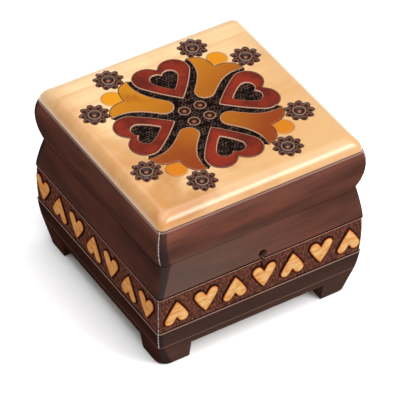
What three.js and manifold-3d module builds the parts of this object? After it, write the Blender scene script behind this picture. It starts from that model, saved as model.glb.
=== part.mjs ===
// Heart keepsake box. A small square wooden box with swelling sides stands on four bracket
// feet. A punched band of raised hearts runs round it, and its hinged lid carries a pale
// board carved with four hearts, four tulips and eight rosettes.
// Millimetres, +Z up, front towards -Y, origin on the floor under the middle of the box.

import * as THREE from 'three';
import { mergeVertices } from 'three/addons/utils/BufferGeometryUtils.js';
import Module from 'manifold-3d';

const wasm = await Module();
wasm.setup();

// Overall form
const boxWidth = 110; // across the waist, where the lid meets the box
const seamHeight = 65.5; // from the floor to the waist
const wallThickness = 12; // at the waist
const fitGap = 0.3; // left between any two pieces that meet

// Swelling sides of the box, measured out from the waist
const bellySwell = 2.7;
const bellyHeight = 38;
const creaseSwell = 0.65; // faint line above the feet
const creaseHeight = 15;
const footInset = 2.6; // how far the feet draw in below the waist line
const footGapHeight = 10.6; // cut-out between two feet
const footWidth = 15.1; // along the wall, at the floor

// Plan corner radii, tightest from the band down to the crease and widening below it
const waistCorner = 5.5;
const bandCorner = 2;
const footCorner = 6;
const boardCorner = 3.5;

// Lid
const railHeight = 23;
const railSwell = 2.9;
const railSwellRise = 14.5; // widest place of the lid, above the waist
const railTopSwell = 1.3; // edge under the pale board
const boardSetBack = 0.2; // of the pale board from that edge
const boardThickness = 7;
const boardRounding = 8; // width of the rounded border of the board

// Bottom board, held in a groove of the walls
const bottomHeight = 12;
const bottomThickness = 4.5;
const grooveDepth = 3;

// Band of hearts
const bandBottom = 25.9;
const bandTop = 47.2;
const bandDepth = 0.7;
const heartsPerSide = 7;
const heartPitch = 16;
const frontRowShift = 0.9; // the rows are not quite in the middle of their sides
const leftRowShift = -1.1;
const bandHeart = { width: 12.9, length: 13.6, lobe: 2.7, notch: 3.7, bulge: 0.12 };

// Carving of the pale board
const carvingDepth = 0.8;
const carvingShift = { x: -0.8, y: 0.8 }; // the whole carving sits a little off the middle
const ridge = 0.6; // pale line left between the punched ground and each figure
const figureTip = 12.6; // from the middle of the board to the tip of each heart
const boardHeart = { width: 29.2, length: 27.4, lobe: 7.4, notch: 4.2, bulge: 0.1 };
const innerHeart = { width: 14.2, length: 13.6, lobe: 3.7, notch: 2.2, bulge: 0.15 };
const innerHeartTip = 20;
const tulip = { root: 16.1, rootRadius: 4.6, tipAlong: 37.6, tipAcross: 13.3, notch: 35 };

// Curve handles of a tulip: across as a share of the root's radius, or of the tip's reach
// for the top, and along as a share of the rise, or of the notch's depth for the top
const tulipWaist = { across: 1.09, along: 0.367 };
const tulipFlare = { across: 1.13, along: 0.716 };
const tulipTop = { across: 0.55, along: 2 };

const bud = { along: 41.3, radius: 4.9 };
const groundTip = { far: 36.9, near: 16.9 }; // pointed ends of the punched cross
const groundReach = 25; // place inside each heart and tulip where the cross turns back
const ringRadius = 3.2;
const ringOffset = 4.3;
const ringWidth = 0.8;
const rosette = { petals: 9, outer: 7.5, inner: 5.7, crestOuter: 3.4, crestInner: 2.5 };
const rosetteFar = 41.9;
const rosetteNear = 23.4;

// Brass hinges, one near each end of the back
const hingeSpread = 28;
const hingeLength = 16;
const leafDepth = 8;
const leafThickness = 0.8;
const barrelRadius = 1.3;
const barrelStandOff = 1.6; // from the waist back to the axis
const pinRadius = 0.5;
const knuckleLength = 5;

// Lock in the front wall and its catch on the lid
const keyholeHeight = 50.8;
const keyholeRadius = 2.35;
const keySlotWidth = 1.6;
const keySlotDrop = 9; // from the middle of the round hole down
const lockWidth = 26;
const lockHeight = 23;
const lockDepth = 6.5;
const keywayDepth = 3; // how far the key's hole runs into the lock
const catchWidth = 18;
const catchThickness = 0.8;
const stapleWidth = 8;
const stapleThickness = 1.3;
const stapleDrop = 6;
const stapleRoot = 0.1; // how far the staple runs up into its plate
const stapleWindow = { width: 4, top: 2, bottom: 4.5 }; // heights measured down from the plate
const stapleClearance = 0.6;

// Fineness of the rounded forms
const cornerSteps = 4;
const roundingSteps = 6;
const bandSteps = 3;
const boardSteps = 3;
const petalSteps = 3;
const ringSides = { outer: 5, inner: 4 };
const budSides = 6;
const keyholeSides = 12;
const barrelSides = 14;
const pinSides = 10;
const leastStep = 0.01; // outline points closer than this count as one
const weldDistance = 1e-5;

const overrun = 1; // how far a cutter runs past the surface that it cuts

const waistHalf = boxWidth / 2;
const innerHalf = waistHalf - wallThickness;
const boxTop = seamHeight - fitGap / 2;
const lidBottom = seamHeight + fitGap / 2;
const boardBottom = seamHeight + railHeight;
const boardTop = boardBottom + boardThickness;
const boardHalf = waistHalf + railTopSwell - boardSetBack;
const hingeAxisY = waistHalf + barrelStandOff;

const paleWood = { color: '#e0b67a', roughness: 0.45, metalness: 0 };
const darkWood = { color: '#3d1d14', roughness: 0.4, metalness: 0 };
const brass = { color: '#b08d45', roughness: 0.35, metalness: 1 };

// Solids

function toSolid(geometry) {
  const bare = geometry.clone();
  bare.deleteAttribute('normal');
  bare.deleteAttribute('uv');
  const merged = mergeVertices(bare, weldDistance);
  const mesh = new wasm.Mesh({
    numProp: 3,
    vertProperties: new Float32Array(merged.attributes.position.array),
    triVerts: new Uint32Array(merged.index.array),
  });
  mesh.merge();
  return new wasm.Manifold(mesh);
}

function toMesh(name, solid, finish, turn = 0) {
  const { vertProperties, triVerts } = solid.getMesh();
  const geometry = new THREE.BufferGeometry();
  geometry.setAttribute('position', new THREE.BufferAttribute(vertProperties, 3));
  geometry.setIndex(new THREE.BufferAttribute(triVerts, 1));
  geometry.computeVertexNormals();
  const mesh = new THREE.Mesh(geometry, new THREE.MeshStandardMaterial(finish));
  mesh.name = name;
  mesh.rotation.z = turn;
  return mesh;
}

function block([x0, x1], [y0, y1], [z0, z1]) {
  const geometry = new THREE.BoxGeometry(x1 - x0, y1 - y0, z1 - z0);
  geometry.translate((x0 + x1) / 2, (y0 + y1) / 2, (z0 + z1) / 2);
  return toSolid(geometry);
}

function joinAll(solids) {
  return solids.reduce((whole, next) => whole.add(next));
}

// Closed outline as points, with coinciding neighbours dropped
function outlineOf(shape, steps) {
  const points = shape.getPoints(steps);
  const last = points.length;
  return points.filter((point, i) => point.distanceTo(points[(i + 1) % last]) > leastStep);
}

function prism(outline, depth) {
  return new THREE.ExtrudeGeometry(new THREE.Shape(outline), { depth, bevelEnabled: false });
}

// Prism that stands on the board's plane, from a carved floor up through the surface
function boardCutter(outline, depth) {
  const { x, y } = carvingShift;
  return toSolid(prism(outline, depth + overrun).translate(x, y, boardTop - depth));
}

// Prism that runs in from the front, with its outline drawn in X and Z
function frontCutter(outline, outerY, innerY) {
  return toSolid(prism(outline, innerY - outerY).rotateX(Math.PI / 2).translate(0, innerY, 0));
}

// Prism along X, with its outline drawn in Y and Z round the hinge axis
function axlePrism(outline, from, to) {
  const geometry = prism(outline, to - from).rotateZ(Math.PI / 2).rotateY(Math.PI / 2);
  return toSolid(geometry.translate(from, hingeAxisY, seamHeight));
}

function turnedOutline(outline, angle) {
  const middle = new THREE.Vector2();
  return outline.map((point) => point.clone().rotateAround(middle, angle));
}

function movedOutline(outline, x, y) {
  return outline.map((point) => new THREE.Vector2(point.x + x, point.y + y));
}

function circleOutline(radius, sides) {
  const shape = new THREE.Shape().absarc(0, 0, radius, 0, 2 * Math.PI, false);
  return outlineOf(shape, sides);
}

// Outline moved outwards by a distance, each corner along the mean of its two normals
function grownOutline(outline, distance) {
  const count = outline.length;
  return outline.map((point, i) => {
    const before = outline[(i + count - 1) % count];
    const after = outline[(i + 1) % count];
    const along = after.clone().sub(before).normalize();
    return new THREE.Vector2(point.x + along.y * distance, point.y - along.x * distance);
  });
}

// Square swelling forms, lofted from rings at rising heights

function squareRing({ half, corner, z }) {
  const ring = [];
  for (let side = 0; side < 4; side += 1) {
    const start = (side * Math.PI) / 2;
    const centre = new THREE.Vector2(half - corner, half - corner);
    centre.rotateAround(new THREE.Vector2(), start);
    for (let step = 0; step <= cornerSteps; step += 1) {
      const angle = start + (step / cornerSteps) * (Math.PI / 2);
      const x = centre.x + corner * Math.cos(angle);
      const y = centre.y + corner * Math.sin(angle);
      ring.push(new THREE.Vector3(x, y, z));
    }
  }
  return ring;
}

function loft(levels) {
  const rings = levels.map(squareRing);
  const count = rings[0].length;
  const positions = rings.flat().flatMap((point) => point.toArray());
  positions.push(0, 0, levels[0].z, 0, 0, levels.at(-1).z);
  const bottomMiddle = rings.length * count;
  const topMiddle = bottomMiddle + 1;
  const lastRing = (rings.length - 1) * count;
  const triangles = [];
  for (let i = 0; i < count; i += 1) {
    const next = (i + 1) % count;
    triangles.push(bottomMiddle, next, i, topMiddle, lastRing + i, lastRing + next);
    for (let ring = 0; ring < rings.length - 1; ring += 1) {
      const low = ring * count;
      const high = low + count;
      triangles.push(low + i, low + next, high + next, low + i, high + next, high + i);
    }
  }
  const geometry = new THREE.BufferGeometry();
  geometry.setAttribute('position', new THREE.Float32BufferAttribute(positions, 3));
  geometry.setIndex(triangles);
  return toSolid(geometry);
}

// Height of a circular arc below its crown, which passes through (span, sag)
function arcSag(offset, span, sag) {
  const radius = (span * span + sag * sag) / (2 * sag);
  return radius - Math.sqrt(Math.max(0, radius * radius - offset * offset));
}

function boxHalf(z) {
  if (z >= bellyHeight) {
    const span = seamHeight - bellyHeight;
    return waistHalf + bellySwell - arcSag(z - bellyHeight, span, bellySwell);
  }
  if (z >= creaseHeight) {
    const span = bellyHeight - creaseHeight;
    return waistHalf + bellySwell - arcSag(bellyHeight - z, span, bellySwell - creaseSwell);
  }
  const drop = (creaseHeight - z) / creaseHeight;
  return waistHalf + creaseSwell - drop * (footInset + creaseSwell);
}

function boxCorner(z) {
  if (z >= bandTop) {
    return THREE.MathUtils.mapLinear(z, bandTop, seamHeight, bandCorner, waistCorner);
  }
  if (z >= creaseHeight) {
    return bandCorner;
  }
  return THREE.MathUtils.mapLinear(z, 0, creaseHeight, footCorner, bandCorner);
}

function lidHalf(z) {
  const rise = z - seamHeight;
  if (rise <= railSwellRise) {
    return waistHalf + railSwell - arcSag(railSwellRise - rise, railSwellRise, railSwell);
  }
  const span = railHeight - railSwellRise;
  const sag = railSwell - railTopSwell;
  return waistHalf + railSwell - arcSag(rise - railSwellRise, span, sag);
}

function lidCorner(z) {
  return THREE.MathUtils.mapLinear(z, seamHeight, boardBottom, waistCorner, boardCorner);
}

function heights(from, to, steps) {
  return Array.from({ length: steps + 1 }, (_, i) => from + ((to - from) * i) / steps);
}

// Block of the box's outer form, drawn in by an amount for the floor of the carved band
function boxForm(drawnIn) {
  const rising = [
    ...heights(0, creaseHeight, 1),
    ...heights(creaseHeight, bandBottom, 2).slice(1),
    ...heights(bandBottom, bellyHeight, 1).slice(1),
    ...heights(bellyHeight, bandTop, 1).slice(1),
    ...heights(bandTop, boxTop, 3).slice(1),
  ];
  return loft(
    rising.map((z) => ({ half: boxHalf(z) - drawnIn, corner: boxCorner(z), z })),
  );
}

function lidForm() {
  const widest = seamHeight + railSwellRise;
  const rising = [
    ...heights(lidBottom, widest, 4),
    ...heights(widest, boardBottom - fitGap / 2, 2).slice(1),
  ];
  return loft(rising.map((z) => ({ half: lidHalf(z), corner: lidCorner(z), z })));
}

// Quarter ellipse from the board's upright edge over to its flat top
function boardForm() {
  const low = boardBottom + fitGap / 2;
  const levels = heights(0, Math.PI / 2, roundingSteps).map((angle) => ({
    half: boardHalf - boardRounding * (1 - Math.cos(angle)),
    corner: boardCorner,
    z: low + (boardTop - low) * Math.sin(angle),
  }));
  return loft(levels);
}

// Quarter of the plan, between two mitres, as a block that faces -Y
function mitreWedge(lowZ, highZ) {
  const reach = boxWidth;
  const apex = -(fitGap / 2) * Math.SQRT2;
  const outline = [
    new THREE.Vector2(0, apex),
    new THREE.Vector2(-reach, apex - reach),
    new THREE.Vector2(reach, apex - reach),
  ];
  return toSolid(prism(outline, highZ - lowZ).translate(0, 0, lowZ));
}

// Figures

// Tip at the origin and lobes towards +Y. Each side runs from the tip to the lobe's circle,
// bowed out by the bulge, then round the lobe and straight down into the notch.
function heartOutline({ width, length, lobe, notch, bulge }, steps) {
  const x = width / 2 - lobe;
  const y = length - lobe;
  const touch = Math.atan2(-y, -x) + Math.acos(lobe / Math.hypot(x, y)) + bulge;
  const end = new THREE.Vector2(x + lobe * Math.cos(touch), y + lobe * Math.sin(touch));
  const tangent = new THREE.Vector2(-Math.sin(touch), Math.cos(touch));
  const back = end.lengthSq() / (2 * end.dot(tangent));
  const pull = end.clone().addScaledVector(tangent, -back);
  const notchY = length - notch;
  const away = Math.PI + Math.atan2(y - notchY, x);
  const leave = away - Math.acos(Math.min(1, lobe / Math.hypot(x, y - notchY)));
  const shape = new THREE.Shape();
  shape.moveTo(0, 0);
  shape.quadraticCurveTo(pull.x, pull.y, end.x, end.y);
  shape.absarc(x, y, lobe, touch, leave, false);
  shape.lineTo(0, notchY);
  shape.absarc(-x, y, lobe, Math.PI - leave, Math.PI - touch, false);
  shape.quadraticCurveTo(-pull.x, pull.y, 0, 0);
  return outlineOf(shape, steps);
}

// Bell of two petals along +Y, from a round foot out to two pointed tips
function tulipOutline({ root, rootRadius, tipAlong, tipAcross, notch }) {
  const rise = tipAlong - root;
  const waistX = rootRadius * tulipWaist.across;
  const waistY = root + rise * tulipWaist.along;
  const flareX = rootRadius * tulipFlare.across;
  const flareY = root + rise * tulipFlare.along;
  const topX = tipAcross * tulipTop.across;
  const topY = tipAlong + (tipAlong - notch) * tulipTop.along;
  const shape = new THREE.Shape();
  shape.moveTo(-rootRadius, root);
  shape.absarc(0, root, rootRadius, Math.PI, 2 * Math.PI, false);
  shape.bezierCurveTo(waistX, waistY, flareX, flareY, tipAcross, tipAlong);
  shape.quadraticCurveTo(topX, topY, 0, notch);
  shape.quadraticCurveTo(-topX, topY, -tipAcross, tipAlong);
  shape.bezierCurveTo(-flareX, flareY, -waistX, waistY, -rootRadius, root);
  return outlineOf(shape, boardSteps);
}

function rosetteOutline({ petals, outer, inner }) {
  const count = petals * petalSteps;
  const points = [];
  for (let i = 0; i < count; i += 1) {
    const angle = (i / count) * 2 * Math.PI;
    const radius = inner + (outer - inner) * Math.abs(Math.sin((angle * petals) / 2));
    points.push(new THREE.Vector2(radius * Math.cos(angle), radius * Math.sin(angle)));
  }
  return points;
}

function quarterTurns() {
  return [0, 1, 2, 3].map((quarter) => (quarter * Math.PI) / 2);
}

// Pale board

function ringSolid(outer, inner, depth, x, y) {
  const rim = movedOutline(circleOutline(outer, ringSides.outer), x, y);
  const hole = movedOutline(circleOutline(inner, ringSides.inner), x, y);
  return boardCutter(rim, depth).subtract(boardCutter(hole, depth + overrun));
}

// Star whose long points lie between the hearts and tulips
function crossOutline() {
  const middle = groundReach * Math.SQRT1_2;
  return quarterTurns().flatMap((turn) =>
    turnedOutline(
      [
        new THREE.Vector2(groundReach, 0),
        new THREE.Vector2(groundTip.far, groundTip.near),
        new THREE.Vector2(middle, middle),
        new THREE.Vector2(groundTip.near, groundTip.far),
      ],
      turn,
    ),
  );
}

// Pointed cross between the hearts and tulips, less the ridge round each and the four rings
function punchedGround(figures) {
  let ground = boardCutter(crossOutline(), carvingDepth);
  for (const figure of figures) {
    ground = ground.subtract(boardCutter(grownOutline(figure, ridge), carvingDepth + overrun));
  }
  for (const x of [-ringOffset, ringOffset]) {
    for (const y of [-ringOffset, ringOffset]) {
      ground = ground.subtract(
        ringSolid(ringRadius, ringRadius - ringWidth, carvingDepth + overrun, x, y),
      );
    }
  }
  return ground;
}

// Fine groove round a figure, left out along the punched cross
function figureGroove(outline) {
  const groove = boardCutter(grownOutline(outline, ridge), carvingDepth / 2);
  const cross = boardCutter(grownOutline(crossOutline(), ridge), carvingDepth);
  return groove.subtract(boardCutter(outline, carvingDepth)).subtract(cross);
}

function rosetteSolid(x, y) {
  const flower = boardCutter(movedOutline(rosetteOutline(rosette), x, y), carvingDepth);
  const { crestOuter, crestInner } = rosette;
  return flower.subtract(ringSolid(crestOuter, crestInner, carvingDepth + overrun, x, y));
}

function paleBoard() {
  const heart = movedOutline(heartOutline(boardHeart, boardSteps), 0, figureTip);
  const inner = movedOutline(heartOutline(innerHeart, boardSteps), 0, innerHeartTip);
  const petals = tulipOutline(tulip);
  const budCircle = movedOutline(circleOutline(bud.radius, budSides), 0, bud.along);
  const hearts = quarterTurns().map((turn) => turnedOutline(heart, turn));
  const tulips = quarterTurns().map((turn) => turnedOutline(petals, turn + Math.PI / 4));
  const cutters = [punchedGround([...hearts, ...tulips])];
  quarterTurns().forEach((turn, i) => {
    cutters.push(boardCutter(turnedOutline(inner, turn), carvingDepth));
    cutters.push(figureGroove(hearts[i]));
    cutters.push(figureGroove(tulips[i]));
    const budGroove = figureGroove(turnedOutline(budCircle, turn + Math.PI / 4));
    cutters.push(budGroove.subtract(boardCutter(tulips[i], carvingDepth)));
    const spots = [
      new THREE.Vector2(rosetteFar, rosetteNear),
      new THREE.Vector2(rosetteNear, rosetteFar),
    ];
    for (const spot of turnedOutline(spots, turn)) {
      cutters.push(rosetteSolid(spot.x, spot.y));
    }
  });
  return boardForm().subtract(joinAll(cutters));
}

// Walls and rails, each made facing -Y

function bandCutter(middleTipUp, rowShift) {
  const reach = boxWidth;
  const slab = block([-reach, reach], [-reach, 0], [bandBottom, bandTop]);
  const middle = (bandBottom + bandTop) / 2;
  const upright = movedOutline(heartOutline(bandHeart, bandSteps), 0, -bandHeart.length / 2);
  let ground = slab.subtract(boxForm(bandDepth));
  for (let i = 0; i < heartsPerSide; i += 1) {
    const place = i - (heartsPerSide - 1) / 2;
    const tipUp = Math.round(Math.abs(place)) % 2 === 1 ? !middleTipUp : middleTipUp;
    const heart = turnedOutline(upright, tipUp ? Math.PI : 0);
    const outline = movedOutline(heart, place * heartPitch + rowShift, middle);
    ground = ground.subtract(frontCutter(outline, -reach, -innerHalf));
  }
  return ground;
}

function footGap() {
  const half = waistHalf - footInset - footWidth;
  return block([-half, half], [-boxWidth, 0], [-overrun, footGapHeight]);
}

function bottomGroove() {
  const half = innerHalf + grooveDepth;
  const low = bottomHeight - fitGap;
  return block([-half, half], [-half, half], [low, bottomHeight + bottomThickness + fitGap]);
}

function keyholeOutline() {
  const half = keySlotWidth / 2;
  const meet = Math.asin(half / keyholeRadius);
  const shape = new THREE.Shape();
  shape.moveTo(-half, -keySlotDrop);
  shape.lineTo(half, -keySlotDrop);
  shape.absarc(0, 0, keyholeRadius, meet - Math.PI / 2, 1.5 * Math.PI - meet, false);
  return movedOutline(outlineOf(shape, keyholeSides), 0, keyholeHeight);
}

function lockBlock(grow) {
  const half = lockWidth / 2 + grow;
  const outerY = -innerHalf - lockDepth - grow;
  const low = boxTop - lockHeight - grow;
  return block([-half, half], [outerY, -innerHalf + grow], [low, boxTop + grow]);
}

// Recesses for the two hinge leaves on one side of the waist
function hingeRecess(lowZ, highZ) {
  const half = hingeLength / 2 + fitGap;
  const inner = waistHalf - leafDepth - fitGap;
  return joinAll(
    [-hingeSpread, hingeSpread].map((x) =>
      block([x - half, x + half], [inner, boxWidth], [lowZ, highZ]),
    ),
  );
}

function catchPlate(grow) {
  const half = catchWidth / 2 + grow;
  const middle = -innerHalf - lockDepth / 2;
  const reach = lockDepth / 2 - fitGap + grow;
  const high = lidBottom + catchThickness + grow;
  return block([-half, half], [middle - reach, middle + reach], [lidBottom - grow, high]);
}

function boxWall({ name, turn, middleTipUp, rowShift }) {
  const hollow = block([-innerHalf, innerHalf], [-innerHalf, innerHalf], [-overrun, seamHeight]);
  let wall = boxForm(0).subtract(hollow).intersect(mitreWedge(-overrun, seamHeight));
  wall = wall.subtract(footGap()).subtract(bottomGroove());
  wall = wall.subtract(bandCutter(middleTipUp, rowShift));
  if (name === 'front') {
    wall = wall.subtract(frontCutter(keyholeOutline(), -boxWidth, -innerHalf));
    wall = wall.subtract(lockBlock(fitGap));
  }
  if (name === 'back') {
    const recess = hingeRecess(boxTop - leafThickness - fitGap, boxTop + overrun);
    wall = wall.subtract(recess.rotate([0, 0, 180]));
  }
  return toMesh(`wall_${name}`, wall, darkWood, turn);
}

function lidRail({ name, turn }) {
  const hollow = block([-innerHalf, innerHalf], [-innerHalf, innerHalf], [seamHeight, boardTop]);
  let rail = lidForm().subtract(hollow).intersect(mitreWedge(seamHeight, boardTop));
  if (name === 'front') {
    rail = rail.subtract(catchPlate(fitGap));
  }
  if (name === 'back') {
    const recess = hingeRecess(lidBottom - overrun, lidBottom + leafThickness + fitGap);
    rail = rail.subtract(recess.rotate([0, 0, 180]));
  }
  return toMesh(`lid_rail_${name}`, rail, darkWood, turn);
}

function bottomBoard() {
  const half = innerHalf + grooveDepth - fitGap;
  const top = bottomHeight + bottomThickness;
  return block([-half, half], [-half, half], [bottomHeight, top]);
}

// Hinges

// Leaf lying at the waist with its knuckles bent round the pin
function hingeLeaf(x, lowZ, highZ, knuckles) {
  const half = hingeLength / 2;
  const inner = waistHalf - leafDepth;
  const plate = block([x - half, x + half], [inner, waistHalf - fitGap], [lowZ, highZ]);
  const parts = [plate];
  for (const [from, to] of knuckles) {
    parts.push(block([x + from, x + to], [inner, hingeAxisY], [lowZ, highZ]));
    parts.push(axlePrism(circleOutline(barrelRadius, barrelSides), x + from, x + to));
  }
  const hole = circleOutline(pinRadius + fitGap, pinSides);
  return joinAll(parts).subtract(axlePrism(hole, x - hingeLength, x + hingeLength));
}

function hingeMeshes(side, x) {
  const half = hingeLength / 2;
  const middle = knuckleLength / 2;
  const outer = middle + fitGap;
  const lower = hingeLeaf(x, boxTop - leafThickness, boxTop, [[-half, -outer], [outer, half]]);
  const upper = hingeLeaf(x, lidBottom, lidBottom + leafThickness, [[-middle, middle]]);
  const pin = axlePrism(circleOutline(pinRadius, pinSides), x - half, x + half);
  return [
    toMesh(`hinge_${side}_lower_leaf`, lower, brass),
    toMesh(`hinge_${side}_upper_leaf`, upper, brass),
    toMesh(`hinge_${side}_pin`, pin, brass),
  ];
}

// Lock and catch

function stapleBlock(grow) {
  const half = stapleWidth / 2 + grow;
  const middle = -innerHalf - lockDepth / 2;
  const reach = stapleThickness / 2 + grow;
  const low = lidBottom - stapleDrop - grow;
  return block([-half, half], [middle - reach, middle + reach], [low, lidBottom + stapleRoot]);
}

function lockCase() {
  const keyway = frontCutter(
    keyholeOutline(),
    -boxWidth,
    -innerHalf - lockDepth + keywayDepth,
  );
  return lockBlock(0).subtract(keyway).subtract(stapleBlock(stapleClearance));
}

function lidCatch() {
  const middle = -innerHalf - lockDepth / 2;
  const half = stapleWindow.width / 2;
  const high = lidBottom - stapleWindow.top;
  const low = lidBottom - stapleWindow.bottom;
  const hole = block([-half, half], [middle - lockDepth, middle + lockDepth], [low, high]);
  return catchPlate(0).add(stapleBlock(0)).subtract(hole);
}

const sides = [
  { name: 'front', turn: 0, middleTipUp: false, rowShift: frontRowShift },
  { name: 'right', turn: Math.PI / 2, middleTipUp: true, rowShift: 0 },
  { name: 'back', turn: Math.PI, middleTipUp: false, rowShift: 0 },
  { name: 'left', turn: -Math.PI / 2, middleTipUp: true, rowShift: leftRowShift },
];

const group = new THREE.Group();
for (const side of sides) {
  group.add(boxWall(side));
  group.add(lidRail(side));
}
group.add(toMesh('bottom_board', bottomBoard(), paleWood));
group.add(toMesh('lid_board', paleBoard(), paleWood));
group.add(...hingeMeshes('left', -hingeSpread));
group.add(...hingeMeshes('right', hingeSpread));
group.add(toMesh('lock_case', lockCase(), brass));
group.add(toMesh('lid_catch', lidCatch(), brass));

export default group;
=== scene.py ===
# Heart keepsake box: dark stained sides with a punched band of hearts, and a pale carved lid.
# Sizes in the dictionaries are millimetres, as in the part's source. Blender works in metres.

import math

import bpy
import numpy as np
from mathutils import Matrix, Vector


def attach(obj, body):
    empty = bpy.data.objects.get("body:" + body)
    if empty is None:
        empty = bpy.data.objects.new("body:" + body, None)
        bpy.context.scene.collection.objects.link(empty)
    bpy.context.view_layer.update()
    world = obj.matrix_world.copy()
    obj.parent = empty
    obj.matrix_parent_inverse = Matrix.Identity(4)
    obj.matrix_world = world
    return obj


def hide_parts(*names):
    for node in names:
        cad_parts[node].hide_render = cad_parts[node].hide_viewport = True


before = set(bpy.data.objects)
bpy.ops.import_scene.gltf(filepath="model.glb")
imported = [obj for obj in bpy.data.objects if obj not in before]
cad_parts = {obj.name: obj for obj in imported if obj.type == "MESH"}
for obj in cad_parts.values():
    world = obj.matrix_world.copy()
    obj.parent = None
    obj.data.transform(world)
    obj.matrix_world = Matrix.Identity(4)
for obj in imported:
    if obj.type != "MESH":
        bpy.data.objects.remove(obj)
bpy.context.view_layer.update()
mm = 0.001

form = {
    "waistHalf": 55.0,  # half width where the lid meets the box
    "seamHeight": 65.5,
    "innerHalf": 43.0,
    "bellySwell": 2.7,
    "bellyHeight": 38.0,
    "creaseSwell": 0.65,
    "creaseHeight": 15.0,
    "footInset": 2.6,
    "footGap": {"half": 37.3, "height": 10.6},
    "waistCorner": 5.5,
    "bandCorner": 2.0,
    "footCorner": 6.0,
    "boardCorner": 3.5,
    "bandBottom": 25.9,
    "bandTop": 47.2,
    "railHeight": 23.0,
    "railSwell": 2.9,
    "railSwellRise": 14.5,
    "railTopSwell": 1.3,
    "boardSetBack": 0.2,
    "boardThickness": 7.0,
    "boardRounding": 8.0,
    "jointGap": 0.08,  # hairline between two pieces
    "floorGroove": {"half": 46.0, "bottom": 11.9, "top": 16.6},
    "straightHalf": 40.0,  # the points along a side keep the same places as far as this
}
seam, waist, hollow = form["seamHeight"], form["waistHalf"], form["innerHalf"]
hairline = form["jointGap"] / 2
boardBottom = seam + form["railHeight"]
boardTop = boardBottom + form["boardThickness"]
wallTop, railLow, railHigh = seam - hairline, seam + hairline, boardBottom - hairline


# Plain number work

def arcSag(offset, span, sag):
    # drop of a circle below its crown at an offset, for a circle that drops by sag over the span
    radius = (span * span + sag * sag) / (2 * sag)
    return radius - np.sqrt(np.maximum(radius * radius - offset * offset, 0))


def smooth(value, width):
    # 0 below minus half the width and 1 above plus half, with an S-shaped rise between
    t = np.clip(value / width + 0.5, 0, 1)
    return t * t * (3 - 2 * t)


def bump(value, width):
    # bell curve of height 1 round 0
    return np.exp(-((value / width) ** 2))


def punch(x, y, pitch):
    # dimples on a honeycomb lattice: bell curve of the distance to the nearest lattice point
    row = pitch * math.sqrt(3) / 2
    nearest = np.full(np.shape(x), np.inf)
    for shift in (0, 1):
        j = 2 * np.round((y / row - shift) / 2) + shift
        i = np.round(x / pitch - shift / 2) + shift / 2
        wobble = 0.14 * pitch * np.sin(12.9 * i + 7.3 * j)
        away = np.hypot(x - i * pitch - wobble, y - j * row + wobble)
        nearest = np.minimum(nearest, away)
    return np.exp(-((nearest / (0.34 * pitch)) ** 2))


def outlineDistance(outline, x, y):
    # signed distance to a closed outline: the nearest of its straight steps, negative where a
    # line towards +X crosses the outline an odd number of times
    px, py = np.ravel(x)[:, None], np.ravel(y)[:, None]
    start, end = outline, np.roll(outline, -1, axis=0)
    edge = end - start
    relX, relY = px - start[:, 0], py - start[:, 1]
    share = (relX * edge[:, 0] + relY * edge[:, 1]) / (edge ** 2).sum(axis=1)
    share = np.clip(share, 0, 1)
    away = np.hypot(relX - share * edge[:, 0], relY - share * edge[:, 1]).min(axis=1)
    rise = np.where(edge[:, 1] == 0, 1, edge[:, 1])
    meets = start[:, 0] + relY * edge[:, 0] / rise
    crossed = ((start[:, 1] > py) != (end[:, 1] > py)) & (px < meets)
    inside = crossed.sum(axis=1) % 2 == 1
    return np.where(inside, -away, away).reshape(np.shape(x))


def mirrored(right):
    # closed outline from its right half, which runs from the foot of the axis to its top
    left = right[1:-1][::-1] * (-1, 1)
    return np.vstack([right, left])


def heartOutline(size, steps=14):
    # tip at the origin, lobes towards +Y: a bowed side up to the lobe's circle, round the
    # lobe, then straight down to the notch
    lobe = size["lobe"]
    x, y = size["width"] / 2 - lobe, size["length"] - lobe
    touch = math.atan2(-y, -x) + math.acos(lobe / math.hypot(x, y)) + size["bulge"]
    end = np.array([x + lobe * math.cos(touch), y + lobe * math.sin(touch)])
    tangent = np.array([-math.sin(touch), math.cos(touch)])
    pull = end - tangent * (end @ end) / (2 * end @ tangent)
    notchY = size["length"] - size["notch"]
    leave = math.pi + math.atan2(y - notchY, x)
    leave -= math.acos(min(1, lobe / math.hypot(x, y - notchY)))
    t = np.linspace(0, 1, steps)[:-1, None]
    side = 2 * t * (1 - t) * pull + t * t * end
    angle = np.linspace(touch, leave, 2 * steps)
    arc = np.stack([x + lobe * np.cos(angle), y + lobe * np.sin(angle)], axis=1)
    return mirrored(np.vstack([side, arc, [(0, notchY)]]))


def tulipOutline(size, steps=14):
    # bell along +Y: a round foot, an S-shaped side out to the tip, and a bowed top edge that
    # dips to the notch
    root, radius = size["root"], size["rootRadius"]
    rise = size["tipAlong"] - root
    tip = np.array([size["tipAcross"], size["tipAlong"]])
    angle = np.linspace(1.5 * math.pi, 2 * math.pi, steps)[:-1]
    foot = np.stack([radius * np.cos(angle), root + radius * np.sin(angle)], axis=1)
    a = np.array([radius, root])
    b = np.array([radius * size["waist"][0], root + rise * size["waist"][1]])
    c = np.array([radius * size["flare"][0], root + rise * size["flare"][1]])
    t = np.linspace(0, 1, 2 * steps)[:-1, None]
    side = (1 - t) ** 3 * a + 3 * (1 - t) ** 2 * t * b + 3 * (1 - t) * t * t * c + t ** 3 * tip
    low = np.array([0, size["notch"]])
    dip = size["tipAlong"] - size["notch"]
    pull = np.array([tip[0] * size["top"][0], size["tipAlong"] + dip * size["top"][1]])
    t = np.linspace(0, 1, steps)[:, None]
    top = (1 - t) ** 2 * tip + 2 * (1 - t) * t * pull + t * t * low
    return mirrored(np.vstack([foot, side, top]))


# Meshes from arrays

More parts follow.
